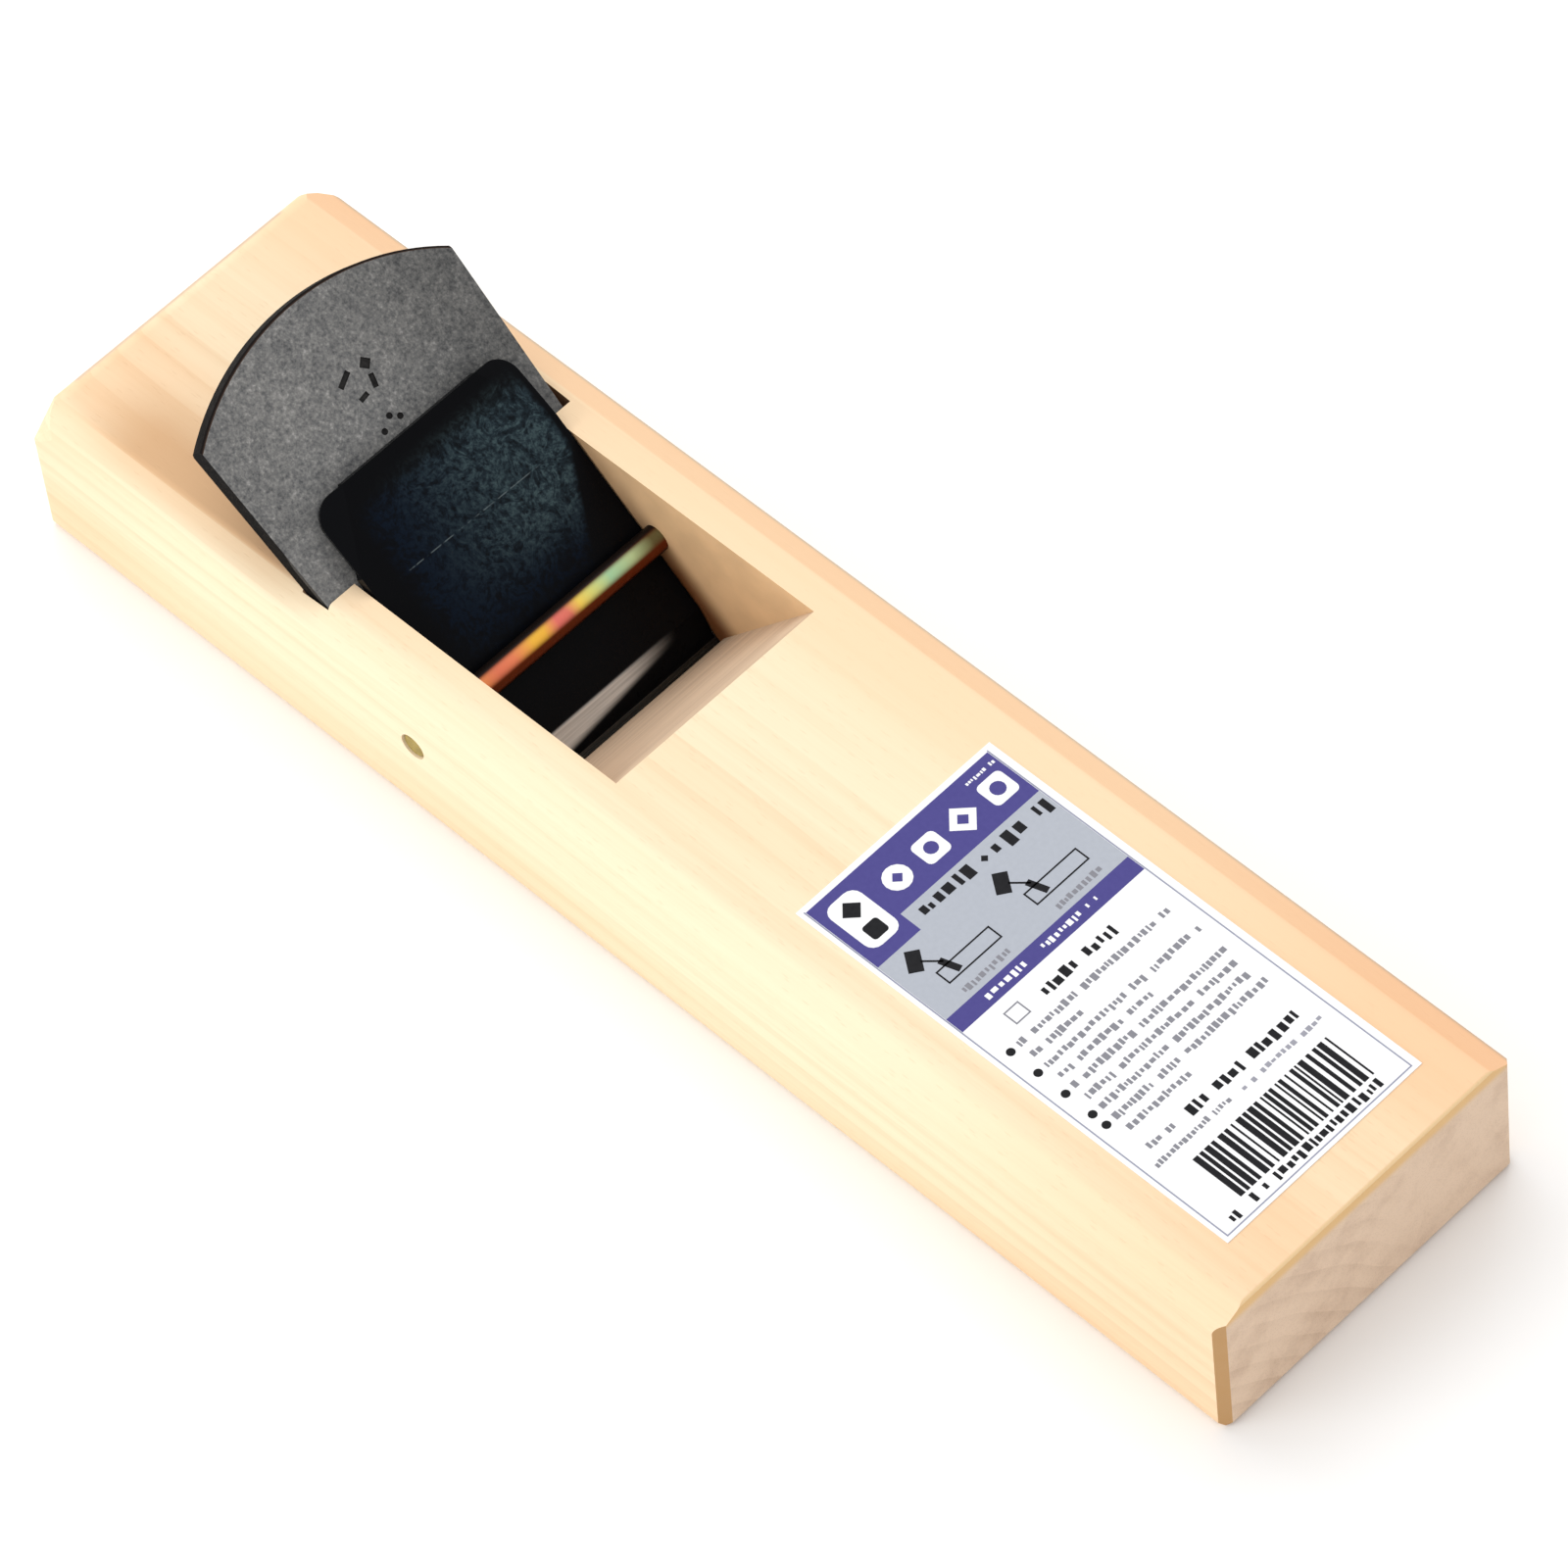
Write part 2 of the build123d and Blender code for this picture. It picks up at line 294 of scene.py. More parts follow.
# ---- wood: a pale, close-grained hardwood, its grain along X ----
WOOD_CREAM = (0.865, 0.728, 0.512)
WOOD_PEACH = (0.850, 0.615, 0.390)
WOOD_LINE = (0.700, 0.440, 0.230)
WOOD_PORE = (0.600, 0.370, 0.180)
WOOD_END = (0.765, 0.575, 0.422)
WOOD_END_DEEP = (0.520, 0.350, 0.240)
WOOD_RIM = (0.860, 0.610, 0.340)
WOOD_RIM_END = (0.760, 0.480, 0.205)
WOOD_CORNER = (0.490, 0.282, 0.120)
CHEEK = (0.800, 0.540, 0.300)
CHEEK_SHADE = (0.200, 0.075, 0.025)
PEACH_SHADOW = (0.625, 0.375, 0.195)
TAN_TONE_AND_SHADE = (0.985, 0.845, 0.765)
FAR_EDGE_SHADE = (0.560, 0.400, 0.270)
SAW_LIGHT_IN_SHADE = (0.660, 0.490, 0.345)
SAW_DARK_IN_SHADE = (0.560, 0.405, 0.280)
PITH = (0, -62 * MM, -38 * MM)  # the tree's middle, outside the stock
RING = 3.1 * MM
RING_DRIFT = 9 * MM
THROAT_SIDE = (18 * MM, 19 * MM)  # both cheeks lie within this of the middle
GROOVE_SIDE = (23 * MM, 24 * MM)  # and the grooves' far walls within this
END_SKIN = (STOCK_HIGH.x - 4 * MM, STOCK_HIGH.x - 3 * MM)  # end faces lie beyond this
UNDER_RIM = (-2.8 * MM, -1.2 * MM)  # the golden strip on an end, below the top
TOE_SHADE = (42 * MM, 100 * MM)  # along X, where the painted shade towards the toe and the tan tone at the heel come and go
HEEL_TINT = (-108 * MM, -72 * MM)
FAR_BAND = (4 * MM, 19 * MM)  # across, where the far side's painted shade comes in
FAR_BEVEL = (21 * MM, 22 * MM)
IRON_SHADOW_FROM = (-103 * MM, -88 * MM)  # the painted shadow of the iron beside it: along X, then across
IRON_SHADOW_TO = (-64 * MM, -52 * MM)
IRON_SHADOW_SIDE_FROM = (-27 * MM, -23 * MM)
IRON_SHADOW_SIDE_TO = (-18 * MM, -8 * MM)
CHEEK_SHADE_OFF_IRON = (2.0 * MM, 7.5 * MM)  # off the iron's face, where painted shade darkens the cheeks
CHEEK_DEEP = (-26 * MM, -12 * MM)  # and up the iron, where they darken less
FRONT_WALL = (-0.77, 0, 0.64)  # the way the front wall faces
# off the iron's face, the span that gets painted shade in the grooves
GROOVE_SHADE_TO = (1.0 * MM, 1.5 * MM)
GROOVE_SHADE_FROM = (-6 * MM, -5 * MM)
# how squarely a face looks a way, where its tone starts to show and where it shows in full
FACES_UP = (0.85, 0.95)
LEANS_UP = (0.60, 0.85)
FACES_THROAT = (0.90, 0.97)
FACES_END = (0.85, 0.98)
TURNS_TO_END = (0.15, 0.55)
TURNED_TO_END = (0.90, 0.99)
TURNS_TO_SIDE = (0.46, 0.75)
TURNED_TO_SIDE = (0.93, 0.99)
# which levels of a pattern show
LATE_STARTS = (0.35, 0.98)
LATE_STOPS = (0.965, 1.0)
RINGS_SHOW = (0.35, 0.75)
BROAD_SHOWS = (0.46, 0.80)
STREAKS_SHOW = (0.42, 0.80)
FIBRES_SHOW = (0.45, 0.75)
PORE_RADIUS = (0.10, 0.22)
DOT_RADIUS = (0.15, 0.5)
BLOTCHES_SHOW = (0.40, 0.75)
SAW_LINES_SHOW = (0.40, 0.66)
# how much of each tone and painted shade is laid over the wood
LATE_SHARE = 0.26
STREAK_SHARE = 0.24
FIBRE_SHARE = 0.07
PORE_SHARE = 0.16
END_LATE_SHARE = 0.30
END_BLOTCH_SHARE = 0.40
END_DOT_SHARE = 0.22
UNDER_RIM_SHARE = 0.90
FAR_BAND_SHARE = 0.8
FAR_BEVEL_SHARE = 0.7
FAR_EDGE_SHARE = 0.95
TOE_SHADE_SHARE = 0.75
HEEL_SHARE = 0.40
IRON_SHADOW_SHARE = 0.9
GROOVE_SHADE_SHARE = 0.9
CHEEK_SHADE_LEAST = 0.35  # what is left of the cheeks' painted shade at the top


def grain_lines(shader):
    """Growth rings round a pith outside the stock, wandering slowly along the grain."""
    drift = shader.noise(shader.place((5, 22, 22)), detail=3)
    beside_pith = shader.math("POWER", shader.along(ACROSS, PITH), 2)
    above_pith = shader.math("POWER", shader.along(UP, PITH), 2)
    from_pith = shader.math("SQRT", shader.math("ADD", beside_pith, above_pith))
    radius = shader.math("MULTIPLY_ADD", drift, RING_DRIFT, from_pith)
    ring = shader.math("FRACT", shader.math("DIVIDE", radius, RING))
    late = shader.times(shader.smooth(ring, *LATE_STARTS), shader.fall(ring, *LATE_STOPS))
    strength = shader.noise(shader.place((3, 45, 45), shift=(4, 1, 2)), detail=2)
    return shader.times(late, shader.smooth(strength, *RINGS_SHOW))


def long_grain(shader, late, streak, fibre):
    """Planed faces: cream with broad peach bands, fine streaks and short pores."""
    broad = shader.noise(shader.place((5, 55, 55), shift=(9, 3, 5)), detail=2)
    colour = shader.mix(shader.smooth(broad, *BROAD_SHOWS), WOOD_CREAM, WOOD_PEACH)
    lines = shader.times(shader.smooth(streak, *STREAKS_SHOW), STREAK_SHARE)
    lines = shader.math("MULTIPLY_ADD", late, LATE_SHARE, lines)
    lines = shader.math("MULTIPLY_ADD", shader.smooth(fibre, *FIBRES_SHOW), FIBRE_SHARE, lines)
    colour = shader.mix(lines, colour, WOOD_LINE)
    pore = shader.cells(shader.place((260, 2100, 2100)))
    pore = shader.fall(pore, *PORE_RADIUS)
    return shader.mix(shader.times(pore, PORE_SHARE), colour, WOOD_PORE), pore


def end_grain(shader, late):
    """Sawn across: browner, with the rings cut through and fine dots."""
    dots = shader.cells(shader.place((300, 3000, 3000)))
    blotch = shader.noise(shader.place((90, 160, 160)), detail=4, rough=0.65)
    tone = shader.times(shader.smooth(blotch, *BLOTCHES_SHOW), END_BLOTCH_SHARE)
    tone = shader.math("MULTIPLY_ADD", late, END_LATE_SHARE, tone)
    tone = shader.math("MULTIPLY_ADD", shader.fall(dots, *DOT_RADIUS), END_DOT_SHARE, tone)
    colour = shader.mix(tone, WOOD_END, WOOD_END_DEEP)
    under_rim = shader.smooth(shader.along(UP, STOCK_HIGH), *UNDER_RIM)
    return shader.mix(shader.times(under_rim, UNDER_RIM_SHARE), colour, WOOD_RIM_END)


def broad_tints(shader, colour):
    """Painted shade along the far side and towards the toe, a tan tone at the heel, and a painted shadow
    beside the iron.
    """
    y = shader.along(ACROSS)
    x = shader.along(ALONG)
    top = shader.smooth(shader.facing(UP), *FACES_UP)
    upward = shader.smooth(shader.facing(UP), *LEANS_UP)
    # painted shade on the far side's upper faces, its bevel and its edge, which face away from the light
    far_band = shader.times(shader.smooth(y, *FAR_BAND), upward)
    colour = shader.mix(shader.times(far_band, FAR_BAND_SHARE), colour, WOOD_PEACH)
    outward = shader.facing(ACROSS)
    far_side = shader.smooth(y, *FAR_BEVEL)
    far_bevel = shader.times(shader.band(outward, 0.30, 0.62, 0.08), far_side)
    colour = shader.mix(shader.times(far_bevel, FAR_BEVEL_SHARE), colour, TAN_TONE_AND_SHADE, "MULTIPLY")
    turning = shader.times(shader.smooth(outward, *TURNS_TO_SIDE), shader.fall(outward, *TURNED_TO_SIDE))
    far_edge = shader.times(turning, far_side)
    colour = shader.mix(shader.times(far_edge, FAR_EDGE_SHARE), colour, FAR_EDGE_SHADE)
    # painted shade that darkens the top towards the toe; the heel gets a tan tone
    ends = shader.times(shader.smooth(x, *TOE_SHADE), TOE_SHADE_SHARE)
    ends = shader.math("MULTIPLY_ADD", shader.fall(x, *HEEL_TINT), HEEL_SHARE, ends)
    colour = shader.mix(ends, colour, TAN_TONE_AND_SHADE, "MULTIPLY")
    # a painted shadow of the iron on the top beside it
    lengthwise = shader.times(shader.smooth(x, *IRON_SHADOW_FROM), shader.fall(x, *IRON_SHADOW_TO))
    crosswise = shader.times(shader.smooth(y, *IRON_SHADOW_SIDE_FROM), shader.fall(y, *IRON_SHADOW_SIDE_TO))
    return shader.mix(shader.times(lengthwise, crosswise, top, IRON_SHADOW_SHARE), colour, PEACH_SHADOW)


def front_wall_tint(shader, colour, inside):
    """Fine saw lines down the throat's sloping front wall, on a tone darkened as painted shade."""
    front_wall = shader.times(shader.smooth(shader.facing(FRONT_WALL), *FACES_THROAT), inside)
    saw = shader.noise(shader.place((900, 14, 900)), detail=3, rough=0.6)
    # both saw tones are darkened as painted shade in the throat
    sawn = shader.mix(shader.smooth(saw, *SAW_LINES_SHOW), SAW_LIGHT_IN_SHADE, SAW_DARK_IN_SHADE)
    return shader.mix(front_wall, colour, sawn)


def cheek_tint(shader, colour, inside, off_iron):
    """Tan cheeks, with painted shade beside the irons."""
    cheek = shader.times(shader.smooth(shader.size(shader.facing(ACROSS)), *FACES_THROAT), inside)
    patch = shader.noise(shader.place((120, 120, 120)), detail=3)
    tan = shader.mix(shader.smooth(patch, 0.35, 0.70), CHEEK, tuple(c * 0.86 for c in CHEEK))
    deep = shader.span(shader.along(UP_THE_IRON, FACE_TOP), *CHEEK_DEEP, 1.0, CHEEK_SHADE_LEAST)
    # painted shade on the cheeks beside the iron's face, strongest deep in the throat
    tan = shader.mix(shader.times(shader.fall(off_iron, *CHEEK_SHADE_OFF_IRON), deep), tan, CHEEK_SHADE)
    return shader.mix(cheek, colour, tan)


def groove_shade(shader, colour, off_iron):
    """Painted shade down in the grooves that hold the iron's edges."""
    aside = shader.size(shader.along(ACROSS))
    beyond = shader.times(shader.smooth(aside, *THROAT_SIDE), shader.fall(aside, *GROOVE_SIDE))
    buried = shader.times(shader.fall(off_iron, *GROOVE_SHADE_TO), shader.smooth(off_iron, *GROOVE_SHADE_FROM))
    steep = shader.fall(shader.size(shader.facing(UP)), 0.78, 0.85)
    return shader.mix(shader.times(beyond, buried, steep, GROOVE_SHADE_SHARE), colour, CHEEK_SHADE)


def throat_tints(shader, colour):
    inside = shader.fall(shader.size(shader.along(ACROSS)), *THROAT_SIDE)
    off_iron = shader.along(FACE_NORMAL, FACE_TOP)
    colour = front_wall_tint(shader, colour, inside)
    colour = cheek_tint(shader, colour, inside, off_iron)
    return groove_shade(shader, colour, off_iron)


def sawn_ends(shader, colour, late):
    """End grain on both ends, and the browner rim where long grain turns into it."""
    x = shader.along(ALONG)
    endward = shader.size(shader.facing(ALONG))
    cut = shader.times(shader.smooth(endward, *FACES_END), shader.smooth(shader.size(x), *END_SKIN))
    colour = shader.mix(cut, colour, end_grain(shader, late))
    at_toe = shader.smooth(x, *END_SKIN)
    turning = shader.times(shader.smooth(endward, *TURNS_TO_END), shader.fall(endward, *TURNED_TO_END))
    turning = shader.times(turning, at_toe)
    upright = shader.fall(shader.facing(UP), 0.05, 0.25)
    return shader.mix(turning, colour, shader.mix(upright, WOOD_RIM, WOOD_CORNER))


def wood_material():
    shader = Shader("stock_wood", roughness=0.62, specular=0.22)
    late = grain_lines(shader)
    streak = shader.noise(shader.place((9, 420, 420)), detail=4, rough=0.65)
    fibre = shader.noise(shader.place((45, 2600, 2600)), detail=3, rough=0.6)
    colour, pore = long_grain(shader, late, streak, fibre)
    colour = throat_tints(shader, broad_tints(shader, colour))
    shader.colour(sawn_ends(shader, colour, late))
    shader.rough(shader.span(streak, 0.3, 0.7, 0.55, 0.72))
    relief = shader.math("MULTIPLY_ADD", fibre, 0.6, shader.times(streak, 0.4))
    relief = shader.math("SUBTRACT", relief, shader.times(pore, 0.5))
    shader.bump(relief, 0.03 * MM)
    return shader.material


# ---- forged iron: grey-black scale with a fine speckle ----
SCALE_STOPS = [(0.36, (0.085, 0.086, 0.090)), (0.48, (0.165, 0.165, 0.163)),
               (0.57, (0.240, 0.236, 0.228)), (0.66, (0.38, 0.37, 0.36))]
SCALE_BLACK = (0.006, 0.0055, 0.0055)
RIM_BROWN = (0.045, 0.026, 0.018)
NO_LIGHT = (0.0, 0.0, 0.0)
GRAIN_SHARE = 0.62  # what each pattern adds to the scale's height
BLOTCH_SHARE = 0.28
CLOUD_SHARE = 0.10
LEVEL_SPREAD = (0.35, 0.65)
SCALE_ROUGHNESS = (0.78, 0.5)
FACES_FRONT = (0.93, 0.99)  # squarely enough to be the front face, not its rim
FACES_RIM = (0.25, 0.5)  # squarely enough to be its rim, not a side
DARKEN_RIGHT = 0.34  # how much darker the scale gets
DARKEN_LOW = 0.14
DARKER_ACROSS = (-4 * MM, 18 * MM)  # the scale is darker towards that side
DARKER_BELOW = (2 * MM, 16 * MM)  # and below this, up the iron
DENT_FLOOR = (-0.15 * MM, -0.06 * MM)
STEEL_DULL = (0.46, 0.45, 0.43)
STEEL_BRIGHT = (0.62, 0.61, 0.58)
MOUTH_SHADE_BELOW = (-36 * MM, -34 * MM)
LAPPED_BELOW = (-25 * MM, -20 * MM)
LAPPED_WANDER = 6 * MM


def scale_colour(shader):
    """The forge scale's colour and height, shared by both layers of the iron."""
    grain = shader.noise(shader.place(), scale=1900, detail=4, rough=0.7)
    blotch = shader.noise(shader.place(shift=(3, 1, 2)), scale=620, detail=3, rough=0.6)
    cloud = shader.noise(shader.place(shift=(7, 2, 5)), scale=70, detail=3)
    level = shader.math("MULTIPLY_ADD", grain, GRAIN_SHARE, shader.times(blotch, BLOTCH_SHARE))
    level = shader.math("MULTIPLY_ADD", cloud, CLOUD_SHARE, level)
    front = shader.facing(FACE_NORMAL)
    # the scale is darker towards the right and lower down
    right = shader.smooth(shader.along(ACROSS), *DARKER_ACROSS)
    low = shader.fall(shader.along(UP_THE_IRON, FACE_TOP), *DARKER_BELOW)
    darkening = shader.math("MULTIPLY_ADD", low, -DARKEN_LOW, 1.0)
    darkening = shader.math("MULTIPLY_ADD", right, -DARKEN_RIGHT, darkening)
    scale = shader.mix(darkening, NO_LIGHT, shader.ramp(level, SCALE_STOPS))
    colour = shader.mix(shader.smooth(front, *FACES_FRONT), RIM_BROWN, scale)
    return shader.mix(shader.smooth(front, *FACES_RIM), SCALE_BLACK, colour), level


def forged_iron():
    shader = Shader("forged_iron", roughness=0.6, specular=0.03)
    colour, level = scale_colour(shader)
    sunk = shader.fall(shader.along(FACE_NORMAL, FACE_TOP), *DENT_FLOOR)
    colour = shader.mix(shader.times(sunk, 0.9), colour, SCALE_BLACK)
    shader.colour(colour)
    shader.rough(shader.span(level, *LEVEL_SPREAD, *SCALE_ROUGHNESS))
    shader.bump(level, 0.10 * MM, 0.8)
    return shader.material


def edge_steel():
    """The hard layer: scaled like the iron at the top, lapped bright towards its edge."""
    shader = Shader("edge_steel", roughness=0.35, specular=0.5)
    scale, level = scale_colour(shader)
    up = shader.along(UP_THE_IRON, FACE_TOP)
    lines = shader.noise(shader.place((2600, 60, 2600)), detail=3)
    bright = shader.ramp(lines, [(0.3, STEEL_DULL), (0.7, STEEL_BRIGHT)])
    front = shader.smooth(shader.facing(FACE_NORMAL), 0.8, 0.95)
    # painted shade: the front face nearest the edge is made near-black, as it lies down in the dark mouth
    mouth_shade = shader.times(shader.fall(up, *MOUTH_SHADE_BELOW), front)
    bright = shader.mix(shader.times(mouth_shade, 0.93), bright, SCALE_BLACK)
    lapped = shader.fall(shader.math("MULTIPLY_ADD", level, LAPPED_WANDER, up), *LAPPED_BELOW)
    shader.colour(shader.mix(lapped, scale, bright))
    shader.link(shader.times(lapped, 0.85), shader.surface.inputs["Metallic"])
    dull = shader.span(level, *LEVEL_SPREAD, *SCALE_ROUGHNESS)
    shader.rough(shader.mix(lapped, dull, shader.span(lines, 0.3, 0.7, 0.2, 0.35)))
    shader.bump(shader.mix(lapped, level, lines), 0.06 * MM, 0.6)
    return shader.material


# ---- chip breaker: glossy blue-black over rolled steel ----
BLUE_BLACK = (0.0022, 0.0024, 0.0032)
DEEP_BLUE_REFLECTION = (0.0028, 0.0064, 0.0145)
TEAL_REFLECTION = (0.047, 0.075, 0.083)
SCRATCH_GREY = (0.16, 0.20, 0.21)
GROUND_DULL = (0.48, 0.47, 0.455)
GROUND_BRIGHT = (0.63, 0.615, 0.60)
# heights up the iron and places across it where the painted reflection and the scratch on the plate begin and
# end
REFLECTION_RISE = (-16 * MM, -7 * MM)
REFLECTION_TOP = (4.0 * MM, 9.5 * MM)
REFLECTION_LEFT = (-12 * MM, 10 * MM)
REFLECTION_RIGHT = 16.3 * MM  # the painted reflection's right edge, which leans inwards below the knee
REFLECTION_KNEE = -4 * MM
REFLECTION_LEAN = 0.5
BLUE_RISE = (-20 * MM, -10 * MM)
BLUE_TOP = (4 * MM, 8 * MM)
BLUE_LEFT = (-14 * MM, -8 * MM)
SCRATCH_UP = -3.3 * MM
SCRATCH_HALF = 0.07 * MM
SCRATCH_ENDS = (-12 * MM, 11 * MM)
STRAND_WIDTH = 0.10  # the mottle's bright strands, and how they and the speckle scale the painted reflection
STRAND_GAIN = (0.50, 1.90)
SPECKLE_LEVELS = (0.38, 0.65)
SPECKLE_GAIN = (0.35, 1.75)
TEAL_REFLECTION_SHARE = 0.34
SCRATCH_SHARE = 0.55
GROUND_UP = -31.2 * MM  # the ground edge starts here
GROUND_SHADED_RIGHT = (2 * MM, 13 * MM)  # and fades into painted shade here
WEDGE_UP = -33.6 * MM  # below this line the ground edge is in the dark, more so to the right
WEDGE_SLOPE = 0.11


def chip_reflection(shader, up, side):
    """A painted reflection of a soft light: a mottled bluish haze on the middle and right of the plate,
    strongest under its top edge.
    """
    height = shader.times(shader.smooth(up, *REFLECTION_RISE), shader.fall(up, *REFLECTION_TOP))
    below_knee = shader.math("MINIMUM", shader.math("SUBTRACT", up, REFLECTION_KNEE), 0.0)
    edge = shader.math("MULTIPLY_ADD", below_knee, REFLECTION_LEAN, REFLECTION_RIGHT)
    right_edge = shader.fall(shader.math("SUBTRACT", side, edge), -0.8 * MM, 0.5 * MM)
    swirl = shader.noise(shader.place(shift=(2, 5, 1)), scale=230, detail=5, rough=0.7, distortion=1.6)
    fine = shader.noise(shader.place(shift=(6, 1, 3)), scale=1300, detail=3, rough=0.7)
    strand = shader.fall(shader.size(shader.math("SUBTRACT", swirl, 0.5)), 0.0, STRAND_WIDTH)
    speckle = shader.span(fine, *SPECKLE_LEVELS, *SPECKLE_GAIN)
    mottle = shader.times(shader.span(strand, 0.0, 1.0, *STRAND_GAIN), speckle)
    teal = shader.times(height, shader.smooth(side, *REFLECTION_LEFT), right_edge, mottle, TEAL_REFLECTION_SHARE)
    blue_height = shader.times(shader.smooth(up, *BLUE_RISE), shader.fall(up, *BLUE_TOP))
    blue = shader.times(shader.smooth(side, *BLUE_LEFT), blue_height, right_edge, mottle)
    return teal, blue


def chip_scratch(shader, up, side, broken):
    """One long broken scratch, nearly square to the plate's sides."""
    slant = shader.math("MULTIPLY_ADD", side, 0.02, up)
    line = shader.band(slant, SCRATCH_UP - SCRATCH_HALF, SCRATCH_UP + SCRATCH_HALF, 0.05 * MM)
    return shader.times(line, shader.band(side, *SCRATCH_ENDS, 1.5 * MM), shader.smooth(broken, 0.42, 0.60))


def ground_edge(shader, up, side):
    """Where the plate's lower edge is ground to bare metal, with painted shade that darkens it to black at
    the right.
    """
    ground = shader.fall(up, GROUND_UP - 0.3 * MM, GROUND_UP + 0.3 * MM)
    wedge = shader.math("MULTIPLY_ADD", side, WEDGE_SLOPE, WEDGE_UP)
    above_wedge = shader.smooth(shader.math("SUBTRACT", up, wedge), -0.6 * MM, 0.6 * MM)
    return shader.times(ground, shader.fall(side, *GROUND_SHADED_RIGHT), above_wedge)


def dark_steel():
    shader = Shader("dark_steel", roughness=0.3, specular=0.05)
    up = shader.along(UP_THE_IRON, FACE_TOP)
    side = shader.along(ACROSS)
    teal, blue = chip_reflection(shader, up, side)
    front = shader.smooth(shader.facing(FACE_NORMAL), 0.92, 0.99)
    # painted reflection on the plate's front face: deep blue outskirts, a teal haze within
    colour = shader.mix(shader.times(blue, front), BLUE_BLACK, DEEP_BLUE_REFLECTION)
    colour = shader.mix(shader.times(teal, front), colour, TEAL_REFLECTION)
    broken = shader.noise(shader.place(shift=(1, 8, 4)), scale=700, detail=2)
    scratch = chip_scratch(shader, up, side, broken)
    colour = shader.mix(shader.times(scratch, front, SCRATCH_SHARE), colour, SCRATCH_GREY)
    lines = shader.noise(shader.place((2400, 50, 2400)), detail=3)
    steel = shader.mix(shader.smooth(lines, 0.35, 0.65), GROUND_DULL, GROUND_BRIGHT)
    shader.colour(shader.mix(ground_edge(shader, up, side), colour, steel))
    shader.rough(shader.span(broken, 0.3, 0.7, 0.24, 0.38))
    shader.bump(broken, 0.01 * MM, 0.5)
    return shader.material


# ---- cross pin: polished, with an iridescent yellow plating ----
PIN_FILM = [(0.10, (0.80, 0.29, 0.09)), (0.20, (0.76, 0.20, 0.11)), (0.28, (0.80, 0.23, 0.11)),
            (0.38, (0.86, 0.48, 0.06)), (0.44, (0.84, 0.46, 0.06)), (0.50, (0.74, 0.17, 0.14)),
            (0.55, (0.70, 0.18, 0.13)), (0.61, (0.82, 0.58, 0.10)), (0.68, (0.62, 0.62, 0.18)),
            (0.77, (0.34, 0.57, 0.33)), (0.88, (0.42, 0.52, 0.26)), (0.99, (0.12, 0.10, 0.04))]
FILM_START = PIN_LOW.y + 7.55 * MM  # where the bands of PIN_FILM start, and their whole length
FILM_LENGTH = 35 * MM
PIN_HIGHLIGHT_FACING = (0.454, 0, 0.891)  # the ways the painted highlight along the crest and the painted red sheen face
PIN_RED_SHEEN_FACING = (0.750, 0, 0.661)
HIGHLIGHT_SHOWS = (0.82, 1.01)  # how squarely a point faces them where they show
RED_SHEEN_SHOWS = (0.45, 0.85)
FILM_WANDER = (0.06, -0.03)  # how far a slow noise shifts the bands, and half of it back
PIN_DARK_REFLECTION = (0.008, 0.005, 0.004)
PIN_RED_SHEEN = (0.105, 0.018, 0.004)
PIN_END = (0.360, 0.262, 0.070)


def plated_pin():
    shader = Shader("plated_pin", roughness=0.3, specular=0.06)
    wave = shader.noise(shader.place(), scale=260, detail=3)
    side = shader.along(ACROSS, (0, FILM_START, 0))
    wander = shader.math("MULTIPLY_ADD", wave, *FILM_WANDER)
    film = shader.ramp(shader.math("ADD", shader.math("DIVIDE", side, FILM_LENGTH), wander), PIN_FILM)
    # the film shows only in a painted highlight along the crest; a painted red sheen lies on a flank, and the
    # flanks and the underside are painted nearly black for the dark they reflect
    highlight_facing = shader.facing(PIN_HIGHLIGHT_FACING)
    highlight = shader.smooth(highlight_facing, *HIGHLIGHT_SHOWS)
    red_sheen = shader.smooth(shader.facing(PIN_RED_SHEEN_FACING), *RED_SHEEN_SHOWS)
    colour = shader.mix(red_sheen, PIN_DARK_REFLECTION, PIN_RED_SHEEN)
    colour = shader.mix(highlight, colour, film)
    ends = shader.smooth(shader.size(shader.facing(ACROSS)), 0.4, 0.7)
    fine = shader.noise(shader.place(shift=(3, 3, 3)), scale=900, detail=2)
    brass = shader.mix(shader.smooth(fine, 0.35, 0.65), PIN_END, tuple(c * 0.75 for c in PIN_END))
    shader.colour(shader.mix(ends, colour, brass))
    shader.rough(shader.span(fine, 0.3, 0.7, 0.22, 0.36))
    shader.bump(fine, 0.01 * MM, 0.3)
    return shader.material


# ---- paper and inks ----
PAPER_WHITE = (0.90, 0.90, 0.91)
INKS = {
    "violet": (0.075, 0.066, 0.250),
    "grey": (0.430, 0.455, 0.508),
    "black": (0.012, 0.012, 0.014),
    "soft_black": (0.245, 0.245, 0.275),
    "faint": (0.330, 0.330, 0.380),
    "line": (0.300, 0.310, 0.400),
    "white": PAPER_WHITE,
}


def printed(name, colour, roughness=0.65):
    """Paper, or ink on paper: an even tone with the paper's fine mottle under it."""
    shader = Shader(name, roughness=roughness, specular=0.12)
    mottle = shader.noise(shader.place(), scale=1400, detail=3)
    shader.colour(shader.mix(mottle, colour, tuple(c * 0.90 for c in colour)))
    shader.rough(shader.span(mottle, 0.3, 0.7, roughness - 0.08, roughness + 0.08))
    shader.bump(mottle, 0.006 * MM, 0.4)
    return shader.material


